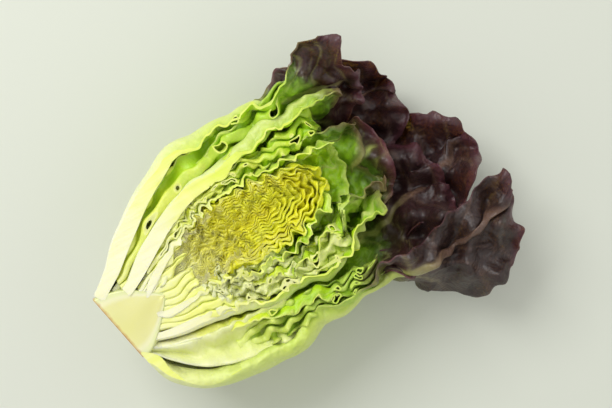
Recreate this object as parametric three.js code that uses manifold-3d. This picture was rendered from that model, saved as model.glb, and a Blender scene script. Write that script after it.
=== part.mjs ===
// Half of a red-tipped little gem lettuce, cut lengthwise and lying on its back with the cut face up.
// Millimetres, +Z up. +X runs from the cut butt to the leaf tips, +Y to the left seen from above.
// The origin is the centre of the small flat spot that the half rests on.

import * as THREE from "three";
import { mergeVertices } from "three/addons/utils/BufferGeometryUtils.js";
import Module from "manifold-3d";

const wasm = await Module();
wasm.setup();

// Driving dimensions of the head, in its own frame: x along the axis from the butt, z up from the axis.
const CUT_HEIGHT = 4; // the knife's plane, above the axis
const REST_DEPTH = 43.5; // the resting spot, below the axis
const REST_X = 46; // the resting spot, along the axis
const REST_Y = 0.5; // the resting spot, to the left of the axis
const BUTT_RADIUS = 14.6;
const CORE_LENGTH = 26;
const CORE_SIDES = 28;
const BUTT_SLANT = 0.2; // the butt was trimmed a little askew
const LEAF_TRIM = 1.2; // the outer leaves' bases are trimmed this far past the butt
const AXIS_BEND = 5; // the whole head leans this far to the left
const HEART_SHIFT = 6; // how far the heart sits to the left of the head's own middle
const FREE_FROM = 86; // along the axis, where the leaves' free ends begin to spring up past the knife's plane
const FREE_TO = 118; // where they stand fully above it
const PRESSED_FROM = 36; // below this depth the head's own weight presses it flat
const PRESSED_TO = 42.5; // the depth that the pressed layers tend to
const GAP = 0.32; // clear space kept between neighbouring pieces
const BLADE = 0.75; // thickness of a leaf's thin part
const OUTERMOST = 46; // mid radius of the outermost leaf
const INNERMOST = 4; // mid radius of the smallest leaf
const ROOT_DEPTH = 2; // how far a leaf's root starts inside the stem core

const RAD = Math.PI / 180;
const TURN = 2 * Math.PI;
const clamp = (x, low, high) => Math.max(low, Math.min(high, x));
const mix = (a, b, k) => a + (b - a) * k;
const smooth = (low, high, x) => {
  const k = clamp((x - low) / (high - low), 0, 1);
  return k * k * (3 - 2 * k);
};
// A fixed fraction from 0 to 1 for each seed and number.
const chance = (seed, k) => {
  const x = Math.sin(seed * 12.9898 + k * 78.233) * 43758.5453;
  return x - Math.floor(x);
};

// A smooth curve through evenly spaced values.
function spline(values, t) {
  const spans = values.length - 1;
  const k = Math.min(spans - 1, Math.floor(clamp(t, 0, 1) * spans));
  const f = clamp(t, 0, 1) * spans - k;
  const at = (i) => values[clamp(i, 0, spans)];
  const [a, b, c, d] = [at(k - 1), at(k), at(k + 1), at(k + 2)];
  return b + 0.5 * f * (c - a + f * (2 * a - 5 * b + 4 * c - d + f * (3 * (b - c) + d - a)));
}

// The fleshy stem core: radius along the axis.
const coreRadius = (x) => BUTT_RADIUS * spline([1, 0.97, 0.8, 0.52, 0.27, 0.1], x / CORE_LENGTH);

// The bud inside the heart that its small leaves stand out of: radius along the axis.
const BUD_START = 20;
const BUD_LENGTH = 52;
const BUD_SIDES = 12;
const BUD_RADIUS = 5.5;
const budRadius = (x) => BUD_RADIUS * spline([0.3, 0.9, 1, 0.85, 0.55, 0.15], (x - BUD_START) / BUD_LENGTH);

// The whole head leans, its heart sits to one side, its underside is pressed flat, and its butt is cut askew.
function settle([x, y, z]) {
  const aside = HEART_SHIFT * smooth(12, 50, x) * (1 - smooth(6, 30, Math.hypot(y, z)));
  const lean = AXIS_BEND * smooth(5, 55, x) + aside;
  const give = PRESSED_TO - PRESSED_FROM;
  const over = Math.max(0, -z - PRESSED_FROM);
  const pressed = over - give * (1 - Math.exp(-over / give));
  return [x - BUTT_SLANT * y * (1 - smooth(0, 12, x)), y + lean, z + pressed];
}

// Soft crumples shared by every layer, so that leaves lying on each other fold together.
function crumple(x, azimuth, radius) {
  const open = smooth(25, 60, x);
  const a = Math.sin(0.2 * x + 2.1 * azimuth + 0.6);
  const b = Math.sin(0.34 * x - 3.3 * azimuth + 2.2);
  return open * Math.min(1.6, 0.05 * radius) * (0.6 * a + 0.4 * b);
}

// Where a leaf's midrib runs, and how its blade hangs on it, at a share t of its length.
function station(leaf, t) {
  const layer = clamp((leaf.radius - INNERMOST) / (OUTERMOST - INNERMOST), 0, 1);
  const rootX = mix(CORE_LENGTH - 3, -1.5, layer);
  const rootRadius = coreRadius(rootX) - ROOT_DEPTH;
  const reach = leaf.radius - rootRadius;
  const beyond = Math.max(0, t - 1) + Math.min(0, t);
  const along = spline([0, 0.14, 0.33, 0.55, 0.78, 1], t) + beyond;
  const radii = [rootRadius, rootRadius + leaf.climb[0] * reach, rootRadius + leaf.climb[1] * reach];
  for (const share of leaf.ends) radii.push(leaf.radius * share);
  const r = spline(radii, t);
  const turned = smooth(0.55, 0.95, t);
  return {
    x: mix(rootX, leaf.tip, along),
    r,
    azimuth: (leaf.azimuth + leaf.drift * smooth(0.4, 1, t)) * RAD,
    roll: leaf.roll * turned * RAD,
    curl: mix(1, leaf.curl, turned) / Math.max(r, 6),
    half: leaf.half * mix(0.42, 1, smooth(0, 0.6, t)),
    ribHalf: mix(leaf.rib * 2.6, leaf.rib * leaf.ribEnd, smooth(0, 0.85, t)),
    ribHeight: leaf.rib * mix(0.55, 1, smooth(0.02, 0.2, t)) * mix(1, leaf.taper, smooth(0.2, 0.95, t)),
  };
}

// How far a point of the blade is from its midrib, along the blade: the knife took more of one half.
const acrossAt = (leaf, s, v) => (v * (1 - Math.abs(leaf.skew)) + leaf.skew) * s.half;

// A point of the leaf's middle surface: t along it, v from one margin (-1) to the other (1).
function middle(leaf, t, v) {
  const s = station(leaf, t * (1 - leaf.round * Math.pow(Math.abs(v), 2.4)));
  const across = acrossAt(leaf, s, v);
  const out = s.azimuth + s.roll;
  const k = Math.abs(s.curl) < 1e-4 ? 1e-4 : s.curl;
  const side = Math.sin(k * across) / k;
  const drop = (1 - Math.cos(k * across)) / k;
  const margin = 1 - (1 - v * v) * (1 - smooth(0.7, 1, t));
  const theta = Math.atan2(v * leaf.half, (t - 0.4) * leaf.tip * 0.8);
  const broad = Math.sin(leaf.folds * theta + TURN * chance(leaf.seed, 1));
  const fine = Math.sin(leaf.folds * 1.7 * theta + TURN * chance(leaf.seed, 2));
  const free = mix(0.35, 1, smooth(0.6, 0.9, t)) * smooth(0.25, 0.6, t);
  const wave = leaf.ruffle * clamp(margin, 0, 1) * free * (0.6 * broad + 0.4 * fine);
  const lift = wave - drop + crumple(s.x, s.azimuth + k * across, s.r);
  const y = s.r * Math.sin(s.azimuth) + side * Math.cos(out) + lift * Math.sin(out);
  const z = -s.r * Math.cos(s.azimuth) + side * Math.sin(out) - lift * Math.cos(out);
  return settle([s.x, y, z]);
}

// How far the fleshy midrib swells out of the blade.
function ribSwell(leaf, t, v) {
  const s = station(leaf, t);
  const q = clamp(acrossAt(leaf, s, v) / s.ribHalf, -1, 1);
  return s.ribHeight * Math.pow(1 - q * q, 1.2);
}

const minus = (a, b) => [a[0] - b[0], a[1] - b[1], a[2] - b[2]];
const plus = (a, b, k) => [a[0] + b[0] * k, a[1] + b[1] * k, a[2] + b[2] * k];
const cross = (a, b) => [a[1] * b[2] - a[2] * b[1], a[2] * b[0] - a[0] * b[2], a[0] * b[1] - a[1] * b[0]];
const unit = (a) => plus([0, 0, 0], a, 1 / Math.hypot(...a));

// A closed body from points and triangles, turned outwards if it came out inside out.
function solid(points, faces) {
  const geometry = new THREE.BufferGeometry();
  geometry.setAttribute("position", new THREE.Float32BufferAttribute(points.flat(), 3));
  geometry.setIndex(faces.flat());
  return manifold(geometry);
}

// A geometry as a solid that can be joined and cut, with its faces pointing out.
function manifold(geometry) {
  const merged = mergeVertices(geometry, 1e-4);
  const vertProperties = merged.attributes.position.array;
  const triVerts = new Uint32Array(merged.index.array);
  const made = new wasm.Manifold(new wasm.Mesh({ numProp: 3, vertProperties, triVerts }));
  if (made.volume() > 0) return made;
  for (let i = 0; i < triVerts.length; i += 3) {
    [triVerts[i + 1], triVerts[i + 2]] = [triVerts[i + 2], triVerts[i + 1]];
  }
  return new wasm.Manifold(new wasm.Mesh({ numProp: 3, vertProperties, triVerts }));
}

// A closed sheet between two grids of points, split into triangles alike on both faces.
function sheet(outer, inner, rows, columns) {
  const faces = [];
  const at = (i, j, side) => side * rows * columns + i * columns + j;
  const both = (a, b, c) => {
    faces.push([at(...a, 0), at(...b, 0), at(...c, 0)]);
    faces.push([at(...a, 1), at(...c, 1), at(...b, 1)]);
  };
  const edge = (a, b) => {
    faces.push([at(...a, 0), at(...a, 1), at(...b, 1)]);
    faces.push([at(...a, 0), at(...b, 1), at(...b, 0)]);
  };
  for (let i = 0; i + 1 < rows; i++) {
    for (let j = 0; j + 1 < columns; j++) {
      const [a, b, c, d] = [[i, j], [i + 1, j], [i + 1, j + 1], [i, j + 1]];
      if ((i + j) % 2) {
        both(a, b, d);
        both(b, c, d);
      } else {
        both(a, b, c);
        both(a, c, d);
      }
    }
  }
  for (let j = 0; j + 1 < columns; j++) {
    edge([0, j + 1], [0, j]);
    edge([rows - 1, j], [rows - 1, j + 1]);
  }
  for (let i = 0; i + 1 < rows; i++) {
    edge([i, 0], [i + 1, 0]);
    edge([i + 1, columns - 1], [i, columns - 1]);
  }
  return solid([...outer, ...inner], faces);
}

// The direction that the leaf's outer face faces at a point.
function facing(leaf, t, v) {
  const step = 1e-3;
  const along = minus(middle(leaf, t + step, v), middle(leaf, t - step, v));
  const over = minus(middle(leaf, t, v + step), middle(leaf, t, v - step));
  return unit(cross(over, along));
}

// A share of a leaf's length or width, moved outwards only at the rim.
function rimmed(share, low, high, extra) {
  if (share === low) return share - extra;
  return share === high ? share + extra : share;
}

// One leaf as a closed solid, grown by extra all round when it is used to carve its neighbours.
function leafSolid(leaf, extra = 0) {
  const { rows, columns } = leaf;
  const outer = [];
  const inner = [];
  const longer = (2 * extra) / leaf.tip;
  const wider = (2 * extra) / leaf.half;
  for (let i = 0; i < rows; i++) {
    const t = Math.pow(i / (rows - 1), 0.9);
    for (let j = 0; j < columns; j++) {
      const k = (2 * j) / (columns - 1) - 1;
      const v = Math.sign(k) * Math.pow(Math.abs(k), 1.25);
      const normal = facing(leaf, t, v);
      const point = middle(leaf, rimmed(t, 0, 1, longer), rimmed(v, -1, 1, wider));
      outer.push(plus(point, normal, BLADE / 2 + ribSwell(leaf, t, v) + extra));
      inner.push(plus(point, normal, -BLADE / 2 - extra));
    }
  }
  return sheet(outer, inner, rows, columns);
}

// A closed body round the axis, from its radius along it, grown by extra when it carves its neighbours.
function spindle(radiusAt, from, to, sides, extra = 0) {
  const rings = 9;
  const points = [[from - extra, 0, 0]];
  for (let i = 0; i < rings; i++) {
    const x = mix(from - extra, to + extra, i / (rings - 1));
    for (let j = 0; j < sides; j++) {
      const a = (TURN * j) / sides;
      const r = radiusAt(x) * (1 + 0.02 * Math.sin(5 * a + 0.2 * x)) + extra;
      points.push([x, r * Math.sin(a), -r * Math.cos(a)]);
    }
  }
  points.push([to + extra, 0, 0]);
  const last = points.length - 1;
  const faces = [];
  const at = (i, j) => 1 + i * sides + (j % sides);
  for (let j = 0; j < sides; j++) {
    faces.push([0, at(0, j), at(0, j + 1)]);
    faces.push([last, at(rings - 1, j + 1), at(rings - 1, j)]);
    for (let i = 0; i + 1 < rings; i++) {
      faces.push([at(i, j), at(i + 1, j), at(i + 1, j + 1)]);
      faces.push([at(i, j), at(i + 1, j + 1), at(i, j + 1)]);
    }
  }
  return solid(points.map(settle), faces);
}

// What lies above the table, past the slanted butt, and below the knife's plane. The leaves' free ends spring
// up after the cut, so that plane rises there.
function kept(from, top, rise = 0) {
  const wide = 400;
  const steps = 80;
  const box = new THREE.BoxGeometry(wide, wide, top + REST_DEPTH, steps, 1, 1);
  box.translate(from + wide / 2, 0, (top - REST_DEPTH) / 2);
  const place = box.attributes.position;
  for (let i = 0; i < place.count; i++) {
    if (place.getZ(i) > 0) place.setZ(i, place.getZ(i) + rise * smooth(FREE_FROM, FREE_TO, place.getX(i)));
  }
  box.applyMatrix4(new THREE.Matrix4().makeShear(0, 0, -BUTT_SLANT, 0, 0, 0));
  box.deleteAttribute("normal");
  box.deleteAttribute("uv");
  return manifold(box);
}

// The largest body of a solid: carving can leave loose scraps.
function largest(made) {
  return made.decompose().sort((a, b) => b.volume() - a.volume())[0];
}

// A leaf: its azimuth round the axis (0 is straight down, 90 to the left), its radius at mid-length, where
// its tip ends and its half width. ends is its radius towards the tip, in shares of the one at mid-length.
// climb is how much of the way out from its root it has gone a fifth and two fifths along. Its free end drifts
// round the axis, rolls to face another way and loses its curl, and its margin ruffles. rib is its midrib's
// height, taper the share left of that at the tip, ribEnd the midrib's half width there in shares of rib, and
// rise how far its free end stands above the cut.
const leaf = (name, azimuth, radius, tip, half, more = {}) => ({
  name,
  azimuth,
  radius,
  tip,
  half,
  rib: mix(1.2, 5, Math.pow((radius - INNERMOST) / (OUTERMOST - INNERMOST), 1.6)),
  ribEnd: 0.6,
  taper: 0.12,
  climb: [mix(0.3, 0.66, smooth(26, 42, radius)), mix(0.74, 0.95, smooth(26, 42, radius))],
  ends: [1.02, 0.95, 0.7],
  drift: 0,
  roll: 0,
  skew: 0,
  curl: 1,
  round: 0.22,
  ruffle: 1.5,
  folds: 8,
  seed: azimuth + radius,
  top: 0,
  rise: 0,
  rows: 14,
  columns: 9,
  ...more,
});

const large = { rows: 18, columns: 9, ruffle: 3, rise: 7 };
const OUTER_LEAVES = [
  leaf("outer_leaf_back", -4, 46, 116, 46, { ...large, rib: 7, ends: [1, 0.92, 0.8], ruffle: 2 }),
  leaf("outer_leaf_right", -80, 43.5, 156, 21, {
    ...large,
    ends: [0.88, 0.95, 0.7],
    roll: -84,
    skew: 0.05,
    curl: 0.2,
    round: 0.1,
    rib: 7,
    taper: 0.25,
    ribEnd: 0.4,
  }),
  leaf("outer_leaf_left", 84, 39, 124, 34, {
    ...large,
    ends: [1.08, 1.13, 1.2],
    climb: [0.47, 0.96],
    roll: -42,
    curl: 0.5,
    rib: 7,
    taper: 0.3,
  }),
  leaf("outer_leaf_under", -8, 38, 152, 30, { ...large, ends: [1, 0.86, 0.55], drift: -16, curl: 0.5 }),
  leaf("red_leaf_left", 44, 32.5, 140, 31, { ...large, ends: [1.1, 1.15, 1], roll: -24, curl: 0.5 }),
  leaf("red_leaf_right", -44, 31, 138, 30, { ...large, ends: [1, 0.98, 0.8], roll: 16, curl: 0.5 }),
];
const ruffled = { ruffle: 3.2, folds: 6, rise: 3 };
const GREEN_LEAVES = [
  leaf("green_leaf_left", 90, 26, 118, 28, { ends: [1.08, 1.28, 1.2], rib: 5.5, taper: 0.55, top: 0.4, rise: 3 }),
  leaf("green_leaf_under", 4, 23.3, 124, 26, ruffled),
  leaf("green_leaf_left_low", 46, 21, 118, 20, ruffled),
  leaf("green_leaf_right", -86, 25.5, 112, 24, { ...ruffled, rib: 3.4, taper: 0.3, top: -0.3 }),
  leaf("green_leaf_right_low", -42, 19, 118, 19.5, ruffled),
];
const LIME_LEAVES = [
  leaf("lime_leaf_left", 86, 17, 106, 21, { rib: 1.1, top: 0.2 }),
  leaf("lime_leaf_under", 14, 14.6, 106, 19),
  leaf("lime_leaf_right", -76, 16.6, 98, 17, { rib: 1.4, top: 0.3 }),
];

// The heart's small frilled leaves, in a spiral from the outermost in.
const HEART_LEAVES = 8;
const HEART_RADIUS = 11; // of its outermost leaf
const HEART_TIP = 96; // where its outermost leaf ends
const INNERMOST_TIP = 74; // where its innermost leaf ends
const GOLDEN_ANGLE = 137.5;
const FIRST_ANGLE = 40;
const OPEN_ANGLE = 100; // its leaves stand no further than this to either side of straight down
function heartLeaf(k) {
  const inward = k / (HEART_LEAVES - 1);
  const turn = ((FIRST_ANGLE + k * GOLDEN_ANGLE) % (2 * OPEN_ANGLE)) - OPEN_ANGLE;
  const radius = mix(HEART_RADIUS, INNERMOST, inward);
  const tip = mix(HEART_TIP, INNERMOST_TIP, inward);
  return leaf("heart_leaf_" + k, turn, radius, tip, radius * 1.35, {
    rib: 1.2,
    ruffle: 1.6,
    folds: 11,
    seed: k,
    rows: 9,
    columns: 6,
  });
}

const head = new THREE.Group();
head.position.set(-REST_X, -REST_Y, REST_DEPTH);

// Adds a solid to the head as a named mesh.
function addPiece(name, made, color, roughness) {
  const mesh = made.getMesh();
  const geometry = new THREE.BufferGeometry();
  geometry.setAttribute("position", new THREE.BufferAttribute(new Float32Array(mesh.vertProperties), 3));
  geometry.setIndex(new THREE.BufferAttribute(mesh.triVerts, 1));
  geometry.computeVertexNormals();
  const piece = new THREE.Mesh(geometry, new THREE.MeshStandardMaterial({ color, roughness, metalness: 0 }));
  piece.name = name;
  head.add(piece);
}

// Takes every piece made so far, grown by the gap, away from the next one in.
const carvers = [spindle(coreRadius, 0, CORE_LENGTH, CORE_SIDES, GAP)];
function carved(made) {
  return largest(carvers.reduce((left, carver) => left.subtract(carver), made));
}

const PALE = 0xd9da8a;
const RED = 0x4a2426;
const GREEN = 0x86b02c;
const LIME = 0xb4c948;
const YELLOW = 0xd8d04e;

const core = spindle(coreRadius, 0, CORE_LENGTH, CORE_SIDES);
addPiece("stem_core", core.intersect(kept(-BUTT_RADIUS, CUT_HEIGHT)), PALE, 0.5);
for (const [leaves, colour] of [
  [OUTER_LEAVES, RED],
  [GREEN_LEAVES, GREEN],
  [LIME_LEAVES, LIME],
]) {
  for (const one of leaves) {
    const cut = leafSolid(one).intersect(kept(LEAF_TRIM, CUT_HEIGHT + one.top, one.rise));
    addPiece(one.name, carved(cut), colour, 0.45);
    carvers.push(leafSolid(one, GAP));
  }
}

let heart = spindle(budRadius, BUD_START, BUD_START + BUD_LENGTH, BUD_SIDES);
for (let k = 0; k < HEART_LEAVES; k++) heart = heart.add(leafSolid(heartLeaf(k)));
addPiece("heart", carved(heart.intersect(kept(LEAF_TRIM, CUT_HEIGHT))), YELLOW, 0.5);

export default head;
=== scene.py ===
# %% [markdown]
# Half a head of red-tipped little gem lettuce, lying on its back with the cut face up.
# The head is a stem core with leaves nested round it like cups. The knife went through all of them, so the
# top is one long section: pale ribs at the sides, a frilled yellow heart in the middle, dark leaf tips at
# the far end. The solids of the frame give each leaf its place. This lesson grows the same leaves again from
# the same rule, with far more points, and adds the folds, veins and colours that a solid can't carry.

# %% Load the frame
import math

import bpy
import numpy as np
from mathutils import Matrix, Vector


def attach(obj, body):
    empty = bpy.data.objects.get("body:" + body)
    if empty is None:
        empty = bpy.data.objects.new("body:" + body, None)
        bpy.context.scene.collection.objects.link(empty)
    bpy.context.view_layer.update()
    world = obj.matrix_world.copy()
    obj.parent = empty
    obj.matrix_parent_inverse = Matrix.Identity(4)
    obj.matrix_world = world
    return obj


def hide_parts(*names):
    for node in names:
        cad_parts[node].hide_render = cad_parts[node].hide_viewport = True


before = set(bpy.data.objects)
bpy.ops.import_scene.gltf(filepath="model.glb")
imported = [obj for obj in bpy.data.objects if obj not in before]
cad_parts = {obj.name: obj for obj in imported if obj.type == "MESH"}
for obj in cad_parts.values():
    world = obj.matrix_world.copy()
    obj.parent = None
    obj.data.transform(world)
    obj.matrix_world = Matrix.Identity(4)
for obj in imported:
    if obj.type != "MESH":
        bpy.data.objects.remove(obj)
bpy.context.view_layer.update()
MM = 0.001

# %% [markdown]
# The photograph looks straight down on the table, with the head lying askew: its axis points up and to the
# right. The camera is turned by that angle and hangs a little over half a metre up, so that the picture is as
# wide as the table is there. One pixel of the picture is 0.38 mm on the cut face.

# %% Camera above the table
PIXEL = 0.38  # mm on the cut face
PICTURE_WIDTH = 612
AXIS_TURN = math.radians(30)  # the head's axis against the picture's lower edge
FOCAL = 85
SENSOR = 36
CUT_FACE = 47.5  # height of the cut face over the table, mm
VIEW_CENTRE = (39.6, 4.9)  # where the picture's centre falls on the cut face, mm

camera = bpy.data.objects.new("camera", bpy.data.cameras.new("camera"))
bpy.context.scene.collection.objects.link(camera)
bpy.context.scene.camera = camera
camera.data.lens = FOCAL
camera.data.sensor_width = SENSOR
distance = PICTURE_WIDTH * PIXEL * FOCAL / SENSOR
camera.location = Vector((*VIEW_CENTRE, CUT_FACE + distance)) * MM
camera.rotation_euler = (0, 0, -AXIS_TURN)
print("camera height over the table, mm:", round(CUT_FACE + distance, 1))

# %% [markdown]
# Soft studio light: one large lamp from the picture's upper left gives the folds their light and dark sides,
# a weaker one from the other side keeps the shadows open, and a pale sky fills the hollows among the leaves.
# The floor is a plain pale sheet, which isn't part of the lettuce.

# %% Light and floor
SKY_STRENGTH = 0.66
FLOOR_SIZE = 3  # m


def lamp(name, place, size, power):
    """A square soft lamp that looks at the middle of the head."""
    light = bpy.data.objects.new(name, bpy.data.lights.new(name, "AREA"))
    bpy.context.scene.collection.objects.link(light)
    light.data.size = size
    light.data.energy = power
    light.location = place
    aim = Vector((0.03, 0, 0.03)) - light.location
    light.rotation_euler = aim.to_track_quat("-Z", "Y").to_euler()
    return light


lamp("key_lamp", (-0.15, 0.7, 0.8), 0.6, 7)
lamp("fill_lamp", (0.7, -0.5, 0.7), 0.9, 1.2)

sky = bpy.data.worlds.new("sky")
bpy.context.scene.world = sky
sky.use_nodes = True
sky.node_tree.nodes["Background"].inputs["Color"].default_value = (1, 0.99, 0.965, 1)
sky.node_tree.nodes["Background"].inputs["Strength"].default_value = SKY_STRENGTH
bpy.context.scene.view_settings.view_transform = "Standard"


def srgb(code, alpha=1.0):
    """A colour as Blender's shaders want it, from a six-digit code."""
    parts = [int(code[i:i + 2], 16) / 255 for i in (0, 2, 4)]
    return (*[c / 12.92 if c <= 0.04045 else ((c + 0.055) / 1.055) ** 2.4 for c in parts], alpha)


bpy.ops.mesh.primitive_plane_add(size=FLOOR_SIZE)
floor = bpy.context.object
floor.name = "floor"
paint = bpy.data.materials.new("pale_floor")
paint.use_nodes = True
paint.node_tree.nodes["Principled BSDF"].inputs["Base Color"].default_value = srgb("d3d7cb")
paint.node_tree.nodes["Principled BSDF"].inputs["Roughness"].default_value = 0.7
floor.data.materials.append(paint)
print("lamps and floor are in place")

# %% [markdown]
# A leaf could be sculpted by hand, but fourteen nested ones would soon cross each other. A rule keeps them
# apart: every leaf has its own radius round the axis. Its midrib runs from the stem core outwards, along, and
# in again at the tip, and its blade hangs on the midrib as an arc round the axis. These helpers are the
# smooth steps and curves that the rule is written with, and they work on whole grids of points at once.

# %% Curves and chances
def mix(a, b, k):
    return a + (b - a) * k


def smooth(low, high, x):
    k = np.clip((x - low) / (high - low), 0, 1)
    return k * k * (3 - 2 * k)


def spline(values, t):
    """A smooth curve through evenly spaced values."""
    values = np.asarray(values, dtype=float)
    spans = len(values) - 1
    place = np.clip(t, 0, 1) * spans
    k = np.minimum(spans - 1, np.floor(place)).astype(int)
    f = place - k
    a, b, c, d = [values[np.clip(k + n, 0, spans)] for n in (-1, 0, 1, 2)]
    return b + 0.5 * f * (c - a + f * (2 * a - 5 * b + 4 * c - d + f * (3 * (b - c) + d - a)))


def chance(seed, k):
    """A fixed fraction from 0 to 1 for each seed and number."""
    x = math.sin(seed * 12.9898 + k * 78.233) * 43758.5453
    return x - math.floor(x)


def murmur(points, size, seed, waves=9):
    """Soft random hills about 1 high, of the given size in mm: waves in fixed random directions, summed."""
    rng = np.random.default_rng(int(seed * 10) % 9973)
    total = np.zeros(points.shape[:-1])
    for _ in range(waves):
        direction = rng.normal(size=points.shape[-1])
        direction /= np.linalg.norm(direction)
        phase = points @ direction * (2 * math.pi / size) * rng.uniform(0.6, 1.5)
        total += np.sin(phase + rng.uniform(0, 6.3))
    return total * math.sqrt(2 / waves)


# %% [markdown]
# The head's own frame has x along its axis from the butt and z up, in millimetres. The driving sizes are the
# same as those of the solids. The whole head leans a little to the left, its own weight presses its underside
# flat, and its butt is cut askew, so every point goes through settle() last.

# %% The rule that places a leaf
CUT_HEIGHT = 4
REST_PLACE = np.array([46, 0.5, -43.5])  # the flat spot that the half rests on
BUTT_RADIUS = 14.6
CORE_LENGTH = 26
BUTT_SLANT = 0.2
TRIM = 0.3  # the leaves are trimmed this far past the butt
AXIS_BEND = 5
HEART_SHIFT = 6  # how far the heart sits to the left of the head's own middle
PRESSED_FROM = 36
PRESSED_TO = 42.5
BLADE = 0.75
OUTERMOST = 46
INNERMOST = 4
ROOT_DEPTH = 2
LOBE_FROM, LOBE_TO = 98, 110  # along the axis, where a leaf's one-sided lobe widens


def core_radius(x):
    return BUTT_RADIUS * spline([1, 0.97, 0.8, 0.52, 0.27, 0.1], x / CORE_LENGTH)


def settle(x, y, z):
    give = PRESSED_TO - PRESSED_FROM
    over = np.maximum(0, -z - PRESSED_FROM)
    pressed = over - give * (1 - np.exp(-over / give))
    askew = BUTT_SLANT * y * (1 - smooth(0, 12, x))
    aside = HEART_SHIFT * smooth(12, 50, x) * (1 - smooth(6, 30, np.hypot(y, z)))
    return np.stack([x - askew, y + AXIS_BEND * smooth(5, 55, x) + aside, z + pressed], axis=-1)


def crumple(x, azimuth, radius):
    """Soft crumples shared by every layer."""
    a = np.sin(0.2 * x + 2.1 * azimuth + 0.6)
    b = np.sin(0.34 * x - 3.3 * azimuth + 2.2)
    return smooth(25, 60, x) * np.minimum(1.6, 0.05 * radius) * (0.6 * a + 0.4 * b)


def station(leaf, t):
    """Where the midrib runs, and how the blade hangs on it, at a share t of the leaf's length."""
    layer = np.clip((leaf["radius"] - INNERMOST) / (OUTERMOST - INNERMOST), 0, 1)
    root_x = mix(CORE_LENGTH - 3, -1.5, layer)
    root_radius = float(core_radius(root_x)) - ROOT_DEPTH
    reach = leaf["radius"] - root_radius
    along = spline([0, 0.14, 0.33, 0.55, 0.78, 1], t)
    ends = [leaf["radius"] * share for share in leaf["ends"]]
    near, further = [root_radius + share * reach for share in leaf["climb"]]
    r = spline([root_radius, near, further, *ends], t)
    turned = smooth(0.55, 0.95, t)
    return {
        "x": mix(root_x, leaf["tip"], along),
        "r": r,
        "azimuth": np.radians(leaf["azimuth"] + leaf["drift"] * smooth(0.4, 1, t)),
        "roll": np.radians(leaf["roll"] * turned),
        "curl": mix(1, leaf["curl"], turned) / np.maximum(r, 6),
        "half": leaf["half"] * mix(0.42, 1, smooth(0, 0.6, t)),
        "rib_half": mix(leaf["rib"] * 2.6, leaf["rib"] * leaf["rib_end"], smooth(0, 0.85, t)),
        "rib_height": (leaf["rib"] * mix(0.55, 1, smooth(0.02, 0.2, t))
                       * mix(1, leaf["taper"], smooth(0.2, 0.95, t))),
    }


def across_at(leaf, s, v):
    across = (v * (1 - abs(leaf["skew"])) + leaf["skew"]) * s["half"]
    return across + np.maximum(across, 0) * leaf["lobe"] * smooth(LOBE_FROM, LOBE_TO, s["x"])


print("core radius at the butt, mm:", core_radius(0.0))

# %% [markdown]
# A real leaf's rim is longer than its middle, so it can't lie flat: it waves, and the waves have smaller
# waves on them. Three rates of folds run round the rim here, and die out towards the midrib.

# %% The blade with its ruffled margin
def bent_profile(leaf, s, across, v, place):
    """How far each point of the blade lies beside the midrib, and how far it drops towards the axis."""
    patchy = 0.6 + 0.4 * np.sin(place / 6 + 6 * chance(leaf["seed"], 4)) * np.sin(place / 19 + leaf["seed"])
    at_rim = smooth(leaf["rim_from"], 1, np.abs(v))
    angle = s["curl"] * across + np.sign(v) * leaf["rim_curl"] * patchy * at_rim
    step = np.diff(across, axis=1)
    half_way = (angle[:, 1:] + angle[:, :-1]) / 2
    none = np.zeros_like(across[:, :1])
    side = np.concatenate([none, np.cumsum(np.cos(half_way) * step, axis=1)], axis=1)
    drop = np.concatenate([none, np.cumsum(np.sin(half_way) * step, axis=1)], axis=1)
    midrib = np.argmin(np.abs(across), axis=1)[:, None]
    at_rib = np.take_along_axis(across, midrib, axis=1)
    side = side - np.take_along_axis(side, midrib, axis=1) + at_rib
    return side, drop - np.take_along_axis(drop, midrib, axis=1)


def creased(angle, crisp):
    """A wave that is round for a crisp of 0 and folded like paper for a crisp of 1."""
    return np.arcsin(crisp * np.sin(angle)) / math.asin(crisp)


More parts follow.
